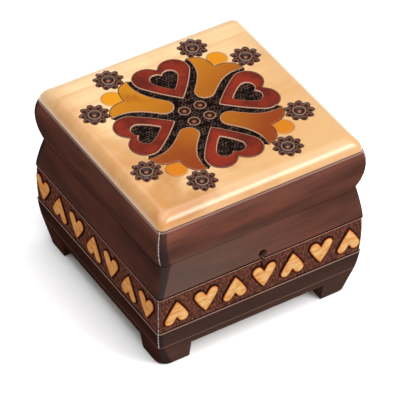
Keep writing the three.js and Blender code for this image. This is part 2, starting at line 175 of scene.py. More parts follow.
def makeMesh(name, points, faces, sharpAngle=60):
    # points in millimetres; faces are lists of corners; corners that nothing uses are dropped
    used = np.unique(np.concatenate([np.ravel(group) for group in faces]))
    place = np.zeros(len(points), dtype=int)
    place[used] = np.arange(len(used))
    mesh = bpy.data.meshes.new(name)
    corners = np.concatenate([place[np.ravel(group)] for group in faces])
    sizes = np.concatenate([np.full(len(group), np.shape(group)[1]) for group in faces])
    starts = np.concatenate([[0], np.cumsum(sizes)[:-1]])
    mesh.vertices.add(len(used))
    mesh.vertices.foreach_set("co", (points[used] * mm).ravel())
    mesh.loops.add(len(corners))
    mesh.loops.foreach_set("vertex_index", corners)
    mesh.polygons.add(len(sizes))
    mesh.polygons.foreach_set("loop_start", starts)
    mesh.update(calc_edges=True)
    mesh.validate()
    mesh.polygons.foreach_set("use_smooth", np.ones(len(mesh.polygons), dtype=bool))
    mesh.set_sharp_from_angle(angle=math.radians(sharpAngle))
    piece = bpy.data.objects.new(name, mesh)
    bpy.context.scene.collection.objects.link(piece)
    return piece


def placesOf(items, key):
    # places of all vertices or faces in millimetres
    points = np.empty(len(items) * 3)
    items.foreach_get(key, points)
    return points.reshape(-1, 3) / mm


def setAttributes(piece, fields):
    # numbers at each point, which the finish reads by name
    for name, values in fields.items():
        layer = piece.data.attributes.new(name, "FLOAT", "POINT")
        layer.data.foreach_set("value", np.asarray(values, dtype=np.float32).ravel())


def gridFaces(numbers):
    # four-cornered faces between the rows and columns of a grid of point numbers
    a, b = numbers[:-1, :-1], numbers[:-1, 1:]
    c, d = numbers[1:, 1:], numbers[1:, :-1]
    return np.stack([a, b, c, d], axis=-1).reshape(-1, 4)


def cutFrom(piece, cutters):
    # exact cut, applied, with the cutting blocks thrown away
    for cutter in cutters:
        step = piece.modifiers.new("cut", "BOOLEAN")
        step.operation, step.solver, step.object = "DIFFERENCE", "EXACT", cutter
    ready = piece.evaluated_get(bpy.context.evaluated_depsgraph_get())
    mesh = bpy.data.meshes.new_from_object(ready)
    piece.modifiers.clear()
    old = piece.data
    piece.data = mesh
    mesh.name = piece.name
    bpy.data.meshes.remove(old)
    for cutter in cutters:
        bpy.data.objects.remove(cutter)


def blockBetween(low, high):
    # box between two corners
    corners = np.array([(x, y, z) for z in (0, 1) for y in (0, 1) for x in (0, 1)])
    points = np.asarray(low) + corners * (np.asarray(high) - np.asarray(low))
    faces = [(0, 2, 3, 1), (4, 5, 7, 6), (0, 1, 5, 4), (1, 3, 7, 5), (3, 2, 6, 7), (2, 0, 4, 6)]
    return makeMesh("block", points.astype(float), [np.array(faces)], 30)


def prismAlongY(outline, nearY, farY):
    # outline in X and Z, carried along Y
    count = len(outline)
    near = np.stack([outline[:, 0], np.full(count, nearY), outline[:, 1]], axis=1)
    far = near + (0, farY - nearY, 0)
    numbers = np.arange(2 * count).reshape(2, count)
    wrapped = np.hstack([numbers, numbers[:, :1]])
    ends = [numbers[0][None, :], numbers[1][None, ::-1]]
    return makeMesh("prism", np.vstack([near, far]), [gridFaces(wrapped)[:, ::-1], *ends], 30)


# Form of the sides

def boxHalf(z):
    # half width at each height: one arc above the belly, one below it, then a straight taper
    swell, belly, crease = form["bellySwell"], form["bellyHeight"], form["creaseHeight"]
    upper = waist + swell - arcSag(z - belly, seam - belly, swell)
    lower = waist + swell - arcSag(belly - z, belly - crease, swell - form["creaseSwell"])
    foot = waist + form["creaseSwell"] - (crease - z) / crease * form["footInset"]
    return np.where(z >= belly, upper, np.where(z >= crease, lower, foot))


def boxCorner(z):
    # plan radius of the corner at each height, along straight steps
    heights = [0, form["creaseHeight"], form["bandTop"], seam]
    radii = [form["footCorner"], form["bandCorner"], form["bandCorner"], form["waistCorner"]]
    return np.interp(z, heights, radii)


def lidHalf(z):
    # half width of the lid's sides: one arc up to the widest place, one above it
    rise = z - seam
    widest, swell = form["railSwellRise"], form["railSwell"]
    lower = waist + swell - arcSag(widest - rise, widest, swell)
    sag = swell - form["railTopSwell"]
    upper = waist + swell - arcSag(rise - widest, form["railHeight"] - widest, sag)
    return np.where(rise <= widest, lower, upper)


def lidCorner(z):
    heights = [seam, boardBottom]
    return np.interp(z, heights, [form["waistCorner"], form["boardCorner"]])


def sideColumns(step, edges=()):
    # places along a side: fixed ones on its straight part, then shares of the way on to the mitre
    fixed = form["straightHalf"]
    restLength = 17.0
    half = np.unique(np.round(np.append(np.arange(0, fixed, step), [*edges, fixed]), 4))
    half = half[np.append(True, np.diff(half) > step * 0.3) | np.isin(half, edges)]
    shares = np.linspace(0, 1, int(restLength / step) + 1)[1:]
    along = np.concatenate([half, np.full(len(shares), fixed)])
    share = np.concatenate([np.zeros(len(half)), shares])
    sign = np.concatenate([-np.ones(len(along) - 1), np.ones(len(along))])
    along, share = (np.concatenate([part[:0:-1], part]) for part in (along, share))
    return along, share, sign


def planCurve(half, corner, columns):
    # the quarter plan between two mitres: straight, then an eighth of a circle at each end.
    # Gives the place along the side, the distance out, and the direction that faces out
    along, share, sign = columns
    straight = half - corner - form["straightHalf"]
    travelled = share * (straight + corner * math.pi / 4)
    angle = np.maximum(travelled - straight, 0) / corner
    reach = np.minimum(travelled, straight) + corner * np.sin(angle)
    place = sign * (along + np.where(share > 0, reach, 0))
    out = half - corner + corner * np.cos(angle)
    return place, out, sign * np.sin(angle), np.cos(angle)


def unrolled(place, out, half, corner):
    # distance along the side from its middle, measured round the corner
    straight = half - corner
    angle = np.arctan2(np.abs(place) - straight, np.maximum(out - straight, 1e-6))
    beyond = np.abs(place) > straight
    return np.sign(place) * np.where(beyond, straight + corner * angle, np.abs(place))


def turnedOut(place, out, z, turn):
    # from along, out and up on a side to X, Y, Z; the front is turned by nothing
    c, s = round(math.cos(turn)), round(math.sin(turn))
    return np.stack([place * c + out * s, place * s - out * c, z], axis=-1)


def turnedBack(points, turn):
    c, s = round(math.cos(turn)), round(math.sin(turn))
    x, y, z = points.T
    return x * c + y * s, x * s - y * c, z


def sideShell(name, turn, heights, halfAt, cornerAt, reliefAt, inner, columns, gap=None):
    # closed shell of one side: the outer face is the plan curve at each height, pushed out by
    # the relief; the inner rows are straight lines that meet their mitre; both are one loop
    z = heights[:, None]
    half, corner = halfAt(z), cornerAt(z)
    place, out, normalS, normalD = planCurve(half, corner, columns)
    push = reliefAt(unrolled(place, out, half, corner), z + 0 * place)
    place, out = place + push * normalS, out + push * normalD
    along, share, sign = columns
    inside = [(sign * (along + share * (d - form["straightHalf"])), d, level) for d, level in inner]
    rows = list(inside)
    for row, at, mix in ((-1, 0, 0.7), (-1, 0, 0.35), (0, -1, 0.5)):  # rows across rim and foot
        s, d, level = inside[at]
        between = (place[row] * (1 - mix) + s * mix, out[row] * (1 - mix) + d * mix, level)
        rows.insert(len(rows) if at else 0, between)
    allS = np.vstack([place, *[row[0] for row in rows]])
    allD = np.vstack([out, *[np.broadcast_to(row[1], len(sign)) for row in rows]])
    allZ = np.vstack([z + 0 * place, *[np.full(len(sign), row[2]) for row in rows]])
    allS = allS * (1 - hairline / np.abs(allD))
    numbers = np.arange(allS.size).reshape(allS.shape)
    caps = [numbers[:, 0][None, :], numbers[::-1, -1][None, :]]
    faces = [gridFaces(np.vstack([numbers, numbers[:1]]))]
    if gap:
        faces = cutOut(faces[0], allS, allZ, numbers, gap)
    points = turnedOut(allS, allD, allZ, turn).reshape(-1, 3)
    return makeMesh(name, points, [*faces, *caps])


def cutOut(quads, allS, allZ, numbers, gap):
    # leaves out the faces between two feet, and closes the cut with a ceiling and two cheeks
    middleS = np.abs(allS.ravel()[quads]).mean(axis=1)
    middleZ = allZ.ravel()[quads].mean(axis=1)
    kept = quads[(middleS > gap["half"]) | (middleZ > gap["height"])]
    outerRow, innerRow = np.flatnonzero(np.isclose(allZ[:, 0], gap["height"]))[[0, -1]]
    first, last = np.flatnonzero(np.abs(allS[0]) <= gap["half"] + 0.05)[[0, -1]]
    strip = numbers[[innerRow, outerRow], first:last + 1]
    loop = np.r_[innerRow:len(numbers), 0:outerRow + 1]
    cheeks = [numbers[loop, first][None, ::-1], numbers[loop, last][None, :]]
    return [kept, gridFaces(strip), *cheeks]


# Band of hearts on the four sides

# the last number of each side is painted light and shade: the front lighter, the left darker
sides = {
    "front": {"turn": 0.0, "middleTipUp": False, "rowShift": 0.9, "paintedLight": 1.05},
    "right": {"turn": math.pi / 2, "middleTipUp": True, "rowShift": 0.0, "paintedLight": 0.95},
    "back": {"turn": math.pi, "middleTipUp": False, "rowShift": 0.0, "paintedLight": 0.9},
    "left": {"turn": -math.pi / 2, "middleTipUp": True, "rowShift": -1.1, "paintedLight": 0.72},
}
band = {
    "heart": {"width": 12.9, "length": 13.6, "lobe": 2.7, "notch": 3.7, "bulge": 0.12},
    "heartsPerSide": 7,
    "pitch": 16.0,
    "depth": 0.7,
    "grooveDepth": 0.22,  # deeper line burnt round each heart
    "grooveWidth": 0.45,
    "punchPitch": 1.35,
    "punchDepth": 0.2,
    "lineDepth": 0.25,  # engraved line above and below the band
    "heartEdge": 0.16,  # how far a heart's edge is worn down
    "softness": 0.5,  # width of a slope between two levels
    "groundStart": 0.15,  # distances from a heart's outline
    "grooveStart": 0.6,
    "punchStart": 1.2,
    "lineAway": 0.95,  # from the band to the line beside it
    "lineWidth": 0.35,
    "creaseDepth": 0.1,
    "creaseWidth": 0.45,
    "rimRounding": 0.5,
    "gridStep": 0.33,
}
bandHeart = heartOutline(band["heart"])


def bandHeartDistance(along, z, side):
    # signed distance to the nearest heart of the row; every second heart stands on its head
    place, most = along - side["rowShift"], (band["heartsPerSide"] - 1) / 2
    number = np.clip(np.round(place / band["pitch"]), -most, most)
    across = place - number * band["pitch"]
    up = z - (form["bandBottom"] + form["bandTop"]) / 2
    tipUp = (np.abs(number) % 2 == 1) != side["middleTipUp"]
    up = np.where(tipUp, -up, up) + band["heart"]["length"] / 2
    return outlineDistance(bandHeart, across, up)


def bandRelief(along, z, side):
    # ground of the band, sunk outside the hearts and punched all over, with a line burnt
    # round each heart and one engraved line above and below; the rim and feet are eased
    heart = bandHeartDistance(along, z, side)
    low, high, soft = form["bandBottom"], form["bandTop"], band["softness"]
    level = smooth(z - low, soft) * smooth(high - z, soft)
    offHeart = smooth(heart - band["groundStart"], soft)
    ground = level * offHeart
    dents = punch(along, z, band["punchPitch"]) * smooth(heart - band["punchStart"], 0.6)
    drop = band["depth"] * ground
    drop += band["grooveDepth"] * bump(heart - band["grooveStart"], band["grooveWidth"]) * level
    drop += band["punchDepth"] * dents * ground
    drop += band["heartEdge"] * bump(np.minimum(heart, 0), 0.8) * level * (1 - offHeart)
    for line in (high + band["lineAway"], low - band["lineAway"]):
        drop += band["lineDepth"] * bump(z - line, band["lineWidth"])
    drop += band["creaseDepth"] * bump(z - form["creaseHeight"], band["creaseWidth"])
    rim = band["rimRounding"]
    for past in (z - wallTop + rim, rim - z):
        past = np.maximum(past, 0)
        drop += rim - np.sqrt(np.maximum(rim * rim - past * past, 0))
    return -drop


def wallHeights():
    # rows of the outer face, close together in the band and where it is eased at its edges
    low, high = form["bandBottom"], form["bandTop"]
    crease, ceiling = form["creaseHeight"], form["footGap"]["height"]
    spans = (
        (0.5, ceiling, 18),
        (ceiling, crease - 1, 5),
        (crease - 1, crease + 1, 7),
        (crease + 1, low - 2, 12),
        (low - 2, low, 8),
        (low, high, int((high - low) / band["gridStep"])),
        (high, high + 2, 8),
        (high + 2, wallTop - 0.5, 28),
    )
    rows = [np.linspace(*span) for span in spans]
    ends = [0, 0.08, 0.2, 0.35, *(wallTop - np.array([0.3, 0.15, 0.05, 0]))]
    return np.unique(np.round(np.concatenate([ends, *rows]), 4))


def keyholeOutline(radius, slotWidth, slotDrop, middle):
    # slot with square ends below, and a circle above
    half = slotWidth / 2
    meet = math.asin(half / radius)
    angle = np.linspace(meet - math.pi / 2, 1.5 * math.pi - meet, 40)
    hole = np.stack([radius * np.cos(angle), radius * np.sin(angle)], axis=1)
    return np.vstack([[(-half, -slotDrop), (half, -slotDrop)], hole]) + (0, middle)


fittings = {
    "keyhole": {"radius": 2.35, "slotWidth": 1.6, "slotDrop": 9.0, "middle": 50.8},
    "lock": {"width": 26.0, "height": 23.0, "depth": 6.5, "gap": 0.3},
    "hinge": {"spread": 28.0, "length": 16.0, "depth": 8.0, "recess": 1.25, "gap": 0.3},
    "catch": {"width": 18.0, "thickness": 0.8, "lift": 0.15, "gap": 0.3},
    "past": 5.0,  # a cutting block ends this far outside the piece
}


def lockCutters():
    # keyhole through the wall, and a mortise for the lock, open to the hollow and to the top
    lock, past = fittings["lock"], fittings["past"]
    inside = past - hollow
    hole = prismAlongY(keyholeOutline(**fittings["keyhole"]), -waist - past, inside)
    half = lock["width"] / 2 + lock["gap"]
    low = seam - lock["height"] - lock["gap"]
    front = -hollow - lock["depth"] - lock["gap"]
    return [hole, blockBetween((-half, front, low), (half, inside, seam + past))]


def hingeCutters(up):
    # recess for both leaves: in the wall where up is -1, in the rail above it where up is 1
    hinge, past = fittings["hinge"], fittings["past"]
    half = hinge["length"] / 2 + hinge["gap"]
    near, far = waist - hinge["depth"] - hinge["gap"], waist + past
    low, high = sorted((seam + up * hinge["recess"], seam - up * past))
    places = (-hinge["spread"], hinge["spread"])
    return [blockBetween((x - half, near, low), (x + half, far, high)) for x in places]


def catchCutter():
    catch, past = fittings["catch"], fittings["past"]
    half = catch["width"] / 2 + catch["gap"]
    high = seam + catch["lift"] + catch["thickness"] + catch["gap"]
    front = -hollow - fittings["lock"]["depth"]
    return blockBetween((-half, front, seam - past), (half, -hollow, high))


def describeSide(piece, side, halfAt, cornerAt):
    # what the finish needs at each point: distance along the unrolled side, depth below the
    # outer face, and how near the point is to the corner of the plan
    place, out, z = turnedBack(placesOf(piece.data.vertices, "co"), side["turn"])
    half, corner = halfAt(z), cornerAt(z)
    along = unrolled(place, out, half, corner)
    bend = corner * math.pi / 4
    toCorner = half - corner + bend - np.abs(along)
    setAttributes(piece, {
        "along": along,
        "inward": half - np.maximum(out, 0),
        "fromCorner": toCorner,
        "cornerShare": toCorner / (bend + 0.8),
        # the side's painted light, the same at every point
        "paintedLight": np.full(len(along), side["paintedLight"]),
    })
    # the bare wood is on faces that lie on the hollow's own plane or behind it
    _, out, _ = turnedBack(placesOf(piece.data.polygons, "center"), side["turn"])
    bare = out < hollow + 0.02
    piece.data.polygons.foreach_set("material_index", bare.astype(np.int32))
    return along, z


def boxWall(name, side):
    gap, groove = form["footGap"], form["floorGroove"]
    deep, low, high = groove["half"], groove["bottom"], groove["top"]
    inner = [(hollow, wallTop), (hollow, high + 0.4), (hollow, high), (deep, high), (deep, low)]
    inner += [(hollow, low), (hollow, gap["height"]), (hollow, 0)]
    wall = sideShell(
        "wall" + name.capitalize(), side["turn"], wallHeights(), boxHalf, boxCorner,
        lambda along, z: bandRelief(along, z, side), inner,
        sideColumns(band["gridStep"], [gap["half"]]), gap,
    )
    if name == "front":
        cutFrom(wall, lockCutters())
    if name == "back":
        cutFrom(wall, hingeCutters(-1))
    along, z = describeSide(wall, side, boxHalf, boxCorner)
    setAttributes(wall, {"heart": bandHeartDistance(along, z, side)})
    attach(wall, "box")
    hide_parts("wall_" + name)
    return wall


# Dark sides of the lid

rail = {"rimRounding": 0.5, "topRounding": 0.7, "gridStep": 0.6}


def railRelief(along, z):
    # both edges eased by a quarter of a circle
    lowRim, topRim = rail["rimRounding"], rail["topRounding"]
    drop = 0 * z
    for past, radius in ((railLow + lowRim - z, lowRim), (z - railHigh + topRim, topRim)):
        past = np.clip(past, 0, radius)
        drop = drop + radius - np.sqrt(radius * radius - past * past)
    return -drop


def lidRail(name, side):
    heights = np.concatenate([
        railLow + np.array([0, 0.05, 0.15, 0.3]),
        np.linspace(railLow + 0.5, railHigh - 0.7, 42),
        railHigh - np.array([0.5, 0.3, 0.15, 0.05, 0]),
    ])
    inner = [(hollow, z) for z in (railHigh, (railLow + railHigh) / 2, railLow)]
    piece = sideShell(
        "lidRail" + name.capitalize(), side["turn"], heights, lidHalf, lidCorner, railRelief,
        inner, sideColumns(rail["gridStep"]),
    )
    if name == "front":
        cutFrom(piece, [catchCutter()])
    if name == "back":
        cutFrom(piece, hingeCutters(1))
    describeSide(piece, side, lidHalf, lidCorner)
    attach(piece, "lid")
    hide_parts("lid_rail_" + name)
    return piece


walls, rails = [], []
for name, side in sides.items():
    walls.append(boxWall(name, side))
    rails.append(lidRail(name, side))
    print("side", name, "faces", len(walls[-1].data.polygons), len(rails[-1].data.polygons))


# Pale carved board

board = {
    "heart": {"width": 29.2, "length": 27.4, "lobe": 7.4, "notch": 4.2, "bulge": 0.1},
    "heartTip": 12.6,
    "innerHeart": {"width": 14.2, "length": 13.6, "lobe": 3.7, "notch": 2.2, "bulge": 0.15},
    "innerTip": 20.0,
    "tulip": {"root": 16.1, "rootRadius": 4.6, "tipAlong": 37.6, "tipAcross": 13.3, "notch": 35.0,
              "waist": (1.09, 0.367), "flare": (1.13, 0.716), "top": (0.55, 2.0)},
    "bud": {"along": 41.3, "radius": 4.9},
    "crossReach": 25.0,
    "crossTip": (36.9, 16.9),
    "ridge": 0.6,
    "ring": {"offset": 4.3, "radius": 3.2, "width": 0.8},
    "rosette": {"far": 41.9, "near": 23.4, "petals": 9, "outer": 7.5, "inner": 5.7,
                "petalAt": 5.4, "petalRadius": 2.15, "crest": 3.0},
    "shift": (-0.8, 0.8),  # the carving sits a little off the middle
    "depth": 0.8,
    "carvedDrop": 2.5,  # how far below its top the rounded border is still carved
    "lineDepth": 0.4,
    "lineWidth": 0.5,
    "punchPitch": 1.7,
    "punchDepth": 0.22,
    "edgeSoftness": 0.45,
    "cells": 256,
    "flatReach": 44.0,
}


def turnedToFigure(x, y, offset):
    # the same point seen from the nearest of four figures, which stand at quarter turns
    quarter = math.pi / 2
    turn = np.round((np.arctan2(y, x) - quarter - offset) / quarter) * quarter + offset
    c, s = np.cos(turn), np.sin(turn)
    return x * c + y * s, y * c - x * s


def crossOutline():
    # star whose long points lie between the hearts and tulips
    (far, near), reach = board["crossTip"], board["crossReach"]
    middle = reach / math.sqrt(2)
    quarter = np.array([(reach, 0), (far, near), (middle, middle), (near, far)])
    turned = quarter[:, ::-1] * (-1, 1)
    return np.vstack([quarter, turned, -quarter, -turned])


def boardFields(x, y):
    # distance of every point to each kind of figure, negative inside it
    x, y = x - board["shift"][0], y - board["shift"][1]
    heartX, heartY = turnedToFigure(x, y, 0)
    tulipX, tulipY = turnedToFigure(x, y, math.pi / 4)
    heart = heartOutline(board["heart"]) + (0, board["heartTip"])
    inner = heartOutline(board["innerHeart"]) + (0, board["innerTip"])
    bud, ring, rosette = board["bud"], board["ring"], board["rosette"]
    flowerX = np.maximum(np.abs(x), np.abs(y)) - rosette["far"]
    flowerY = np.minimum(np.abs(x), np.abs(y)) - rosette["near"]
    fromFlower = np.hypot(flowerX, flowerY)
    around = np.arctan2(flowerY, flowerX)
    petalTurn = 2 * math.pi / rosette["petals"]
    middleTurn = (np.floor(around / petalTurn) + 0.5) * petalTurn
    petalX = flowerX - rosette["petalAt"] * np.cos(middleTurn)
    petalY = flowerY - rosette["petalAt"] * np.sin(middleTurn)
    swell = np.abs(np.sin(rosette["petals"] * around / 2))
    edge = rosette["inner"] + (rosette["outer"] - rosette["inner"]) * swell
    return {
        "heart": outlineDistance(heart, heartX, heartY),
        "innerHeart": outlineDistance(inner, heartX, heartY),
        "tulip": outlineDistance(tulipOutline(board["tulip"]), tulipX, tulipY),
        "bud": np.hypot(tulipX, tulipY - bud["along"]) - bud["radius"],
        "cross": outlineDistance(crossOutline(), x, y),
        "ring": np.hypot(np.abs(x) - ring["offset"], np.abs(y) - ring["offset"]),
        "rosette": fromFlower - edge,
        "fromFlower": fromFlower,
        "petal": np.hypot(petalX, petalY) - rosette["petalRadius"],
        "dent": punch(x, y, board["punchPitch"]),
    }


ringMiddle = board["ring"]["radius"] - board["ring"]["width"] / 2


def boardRelief(fields):
    # depth of the carving: a punched ground between the figures, with a ridge left round each,
    # sunk inner hearts, cupped petals round a raised ring, and a burnt line at open outlines
    soft, fromFlower = board["edgeSoftness"], fields["fromFlower"]
    lineWidth = board["lineWidth"] * 0.6
    figure = np.minimum(fields["heart"], fields["tulip"])
    ground = smooth(-fields["cross"], soft) * smooth(figure - board["ridge"], soft)
    crest = bump(fields["ring"] - ringMiddle, board["ring"]["width"] * 0.6)
    sunk = ground * (1 - 0.85 * crest) * (1 - 0.6 * bump(fields["ring"], 1.1))
    deep = np.maximum(sunk, smooth(-fields["innerHeart"], soft))
    cup = smooth(-fields["petal"], 1.6)
    core = smooth(2.2 - fromFlower, 1.0) * (1 - 0.7 * bump(fromFlower, 0.9))
    flower = smooth(-fields["rosette"], soft) * (0.35 + 0.65 * np.maximum(cup, core))
    flower *= 1 - 0.8 * bump(fromFlower - board["rosette"]["crest"], 0.55)
    line = bump(figure - 0.25, lineWidth) * (1 - smooth(-fields["cross"] + 0.6, 0.6))
    budLine = bump(fields["bud"] - 0.2, lineWidth) * smooth(fields["tulip"] + 0.2, 0.4)
    depth = board["depth"] * np.maximum(deep, flower) + fields["dent"] * board["punchDepth"] * deep
    return -np.maximum(depth, board["lineDepth"] * np.maximum(line, budLine))


def squareRim(cells, reach):
    # the cells' corner numbers round the edge of a square grid, anticlockwise, with each
    # corner's side and its place along that side
    numbers = np.arange((cells + 1) ** 2).reshape(cells + 1, cells + 1)
    loop = [numbers[0, :-1], numbers[:-1, -1], numbers[-1, :0:-1], numbers[:0:-1, 0]]
    place = np.linspace(-reach, reach, cells + 1)[:-1]
    return numbers, np.concatenate(loop), np.repeat(np.arange(4), cells), np.tile(place, 4)


def rimPoints(side, place, half, corner, reach, cornerShare=4.0):
    # the rim's points on a rounded square: the last few millimetres of each side become the
    # corner's eighth of a circle
    straight = reach - cornerShare
    angle = np.maximum(np.abs(place) - straight, 0) / cornerShare * math.pi / 4
    run = np.minimum(np.abs(place), straight) / straight * (half - corner)
    along = np.sign(place) * (run + corner * np.sin(angle))
    out = half - corner + corner * np.cos(angle)
    turn = side * math.pi / 2
    c, s = np.round(np.cos(turn)), np.round(np.sin(turn))
    return along * c + out * s, along * s - out * c


def lidBoard():
    # top: a square grid, then rings that carry its edge over the rounded border; below: rings
    # that close the flat underside
    reach, cells = board["flatReach"], board["cells"]
    numbers, loop, side, place = squareRim(cells, reach)
    grid = np.linspace(-reach, reach, cells + 1)
    x, y = np.meshgrid(grid, grid)
    low = boardBottom + hairline
    half = waist + form["railTopSwell"] - form["boardSetBack"]
    rounding, corner = form["boardRounding"], form["boardCorner"]
    square = (x.ravel()[loop], y.ravel()[loop])
    first = rimPoints(side, place, half - rounding, corner, reach)
    rings = []
    for share in np.linspace(0, 1, 10)[1:]:
        rings.append([a + (b - a) * share for a, b in zip(square, first)] + [boardTop])
    steps = np.radians(np.concatenate([np.linspace(90, 60, 8)[1:], np.linspace(60, 0, 9)[1:]]))
    rim = [(rounding * (1 - math.cos(a)), low + (boardTop - low) * math.sin(a)) for a in steps]
    for inset, level in (*rim, (0.4, low), (6, low), (26, low)):
        rings.append([*rimPoints(side, place, half - inset, corner, reach), level])
    count = len(loop)
    rows = [(x.ravel(), y.ravel(), np.full(x.size, boardTop))]
    rows += [(*across, np.full(count, level)) for *across, level in rings]
    allX, allY, allZ = (np.concatenate(values) for values in zip(*rows))
    fields = boardFields(allX, allY)
    upper = allZ > boardTop - board["carvedDrop"]
    allZ = allZ + np.where(upper, boardRelief(fields), 0)
    ringNumbers = x.size + np.arange(len(rings) * count).reshape(len(rings), count)
    strips = np.vstack([loop[None, :], ringNumbers])
    strips = np.hstack([strips, strips[:, :1]])
    faces = [gridFaces(numbers), gridFaces(strips)[:, ::-1], ringNumbers[-1][None, ::-1]]
    piece = makeMesh("lidBoard", np.stack([allX, allY, allZ], axis=1), faces)
    setAttributes(piece, fields)
    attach(piece, "lid")
    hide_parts("lid_board")
    return piece


paleLid = lidBoard()
print("lid board faces", len(paleLid.data.polygons))


# Finishes

def paint(red, green, blue):
    # screen colour 0 to 255 as the linear colour a shader wants
    values = np.array([red, green, blue]) / 255
    linear = np.where(values <= 0.04045, values / 12.92, ((values + 0.055) / 1.055) ** 2.4)
    return (*linear.tolist(), 1.0)


class Field:
    # a number or colour that varies over a surface, with the sums that masks are made of
    def __init__(self, tree, socket):
        self.tree = tree
        self.socket = socket

    def calc(self, operation, second=0.0):
        return addNode(self.tree, "ShaderNodeMath", {0: self, 1: second}, operation=operation)

    def __add__(self, other):
        return self.calc("ADD", other)

    def __sub__(self, other):
        return self.calc("SUBTRACT", other)

    def __mul__(self, other):
        return self.calc("MULTIPLY", other)

    def __abs__(self):
        return self.calc("ABSOLUTE")

    def inverse(self):
        return addNode(self.tree, "ShaderNodeMath", {0: 1.0, 1: self}, operation="SUBTRACT")

    def fade(self, low, high):
        # 0 where the value is at or below low, 1 at or above high
        limits = {"Value": self, "From Min": low, "From Max": high}
        return addNode(self.tree, "ShaderNodeMapRange", limits, interpolation_type="SMOOTHSTEP")

    def fadeOut(self, low, high):
        return self.fade(low, high).inverse()

    def window(self, rise, fall):
        # up from 0 to 1 over the first pair of limits, and back to 0 over the second
        return self.fade(*rise) * self.fadeOut(*fall)

    def lineAt(self, place, near, far):
        # 1 within the near distance of a place, 0 from the far distance on
        return abs(self - place).fadeOut(near, far)

    def mix(self, palette, below, above):
        # two colours of a palette, the second where this mask is 1
        below, above = (palette[c] if isinstance(c, str) else c for c in (below, above))
        return addNode(self.tree, "ShaderNodeMix", {0: self, 6: below, 7: above}, 2, data_type="RGBA")

    def under(self, palette, *layers):
        # this colour with others laid over it in turn, each where its mask is 1
        colour = self
        for above, mask in layers:
            colour = mask.mix(palette, colour, above)
        return colour

    def noise(self, scale, detail, roughness=0.5):
        inputs = {"Vector": self, "Scale": scale, "Detail": detail, "Roughness": roughness}
        return addNode(self.tree, "ShaderNodeTexNoise", inputs, "Fac")

    def grain(self, stretch, detail, roughness=0.5):
        # noise drawn out along the grain
        inputs = {"Vector": self, "Scale": stretch}
        return addNode(self.tree, "ShaderNodeMapping", inputs).noise(1.0, detail, roughness)

    def to(self, shader, name):
        self.tree.links.new(self.socket, shader.inputs[name])


def addNode(tree, kind, inputs, output=0, **settings):
    # one shader node, given back as the field of one of its outputs
    node = tree.nodes.new(kind)
    for name, value in settings.items():
        setattr(node, name, value)
    for name, value in inputs.items():
        if isinstance(value, Field):
            value.to(node, name)
        else:
            node.inputs[name].default_value = value
    return Field(tree, node.outputs[output])


def fieldOf(tree, name):
    return addNode(tree, "ShaderNodeAttribute", {}, "Fac", attribute_name=name)


def placeOf(tree):
    # the point in the object's own metres, and its X, Y and Z in millimetres
    place = addNode(tree, "ShaderNodeTexCoord", {}, "Object")
    axes = [addNode(tree, "ShaderNodeSeparateXYZ", {0: place}, axis) for axis in (0, 1, 2)]
    return [place, *[axis * (1 / mm) for axis in axes]]


def newFinish(name, values):
    material = bpy.data.materials.new(name)
    material.use_nodes = True
    shader = material.node_tree.nodes["Principled BSDF"]
    plain = {"specular": 0.5, "coat": 0.0, "coatRoughness": 0.2, "metallic": 0.0}
    sockets = ("Roughness", "Specular IOR Level", "Coat Weight", "Coat Roughness", "Metallic")
    for socket, key in zip(sockets, ("roughness", *plain)):
        shader.inputs[socket].default_value = {**plain, **values}[key]
    return material, material.node_tree, shader


def addColour(shader, colour, grain=None):
    # base colour, and a faint relief where there is grain
    colour.to(shader, "Base Color")
    if grain:
        relief = {"Height": grain, "Distance": 0.1 * mm, "Strength": 0.4}
        addNode(colour.tree, "ShaderNodeBump", relief).to(shader, "Normal")


stain = {
    "dark": paint(68, 43, 37),
    "red": paint(101, 59, 47),
    "nearBlack": paint(18, 9, 7),
    "paintedSheen": paint(82, 68, 61),  # painted reflection: a grey sheen on the front
    "ground": paint(55, 30, 25),
    "groundRed": paint(108, 66, 50),
    "heart": paint(170, 113, 54),
    "heartLight": paint(187, 151, 102),
    "heartEdge": paint(174, 92, 30),
    # painted highlight on edges that catch the light
    "paintedHighlight": paint(183, 149, 133),
    # worn corner edge with a painted highlight on it
    "wornHighlight": paint(210, 201, 195),
    # painted shade on one side of each corner's rounding
    "paintedCornerShade": paint(30, 27, 30),
    # painted light by height: a painted highlight at the rail's top, painted shade low on the wall and
    # at the seam
    "paintedLightByHeight": ((0.0, 0.58), (25.0, 0.39), (47.0, 0.95), (67.0, 0.83), (80.0, 0.93), (88.0, 1.3)),
    "streakWeight": 0.32,
    "paintedSheenWeight": 0.62,
    "lowSheenShare": 0.75,
    # painted shade at the right end of the front's rail
    "paintedEndShadeWeight": 0.3,
    "paintedCornerShadeWeight": 0.72,
    "burntWeight": 0.92,
    "offFrontHeartShadeWeight": 0.35,  # painted shade: the hearts darker and deeper in colour on every side but the front
    # painted highlight along the rail's top edge
    "topHighlightWeight": 0.3,
    "wornHighlightWeight": 0.75,
    # the pale lines below are painted highlights on the band's edges and on the crease
    # colour, the height it goes by, how far above, near and far distance, weight
    "lines": (
        ("nearBlack", "bandTop", 0.95, 0.2, 0.5, 1.0),
        ("paintedHighlight", "bandTop", 0.2, 0.1, 0.38, 0.7),
        ("paintedHighlight", "bandBottom", -0.2, 0.1, 0.34, 0.35),
        ("paintedHighlight", "creaseHeight", 0.0, 0.08, 0.3, 0.22),
    ),
    "roughness": 0.3,
    "specular": 0.0,
}


def withPaintedLight(colour, z):
    # painted light and shade: the colour made darker or lighter by soft steps of height, and by side
    paintedLightByHeight = stain["paintedLightByHeight"]
    paintedLight = paintedLightByHeight[0][1]
    for (low, before), (high, after) in zip(paintedLightByHeight, paintedLightByHeight[1:]):
        paintedLight = z.fade(low, high) * (after - before) + paintedLight
    paintedLight = paintedLight * fieldOf(z.tree, "paintedLight")
    return addNode(z.tree, "ShaderNodeVectorMath", {0: colour, "Scale": paintedLight}, operation="SCALE")


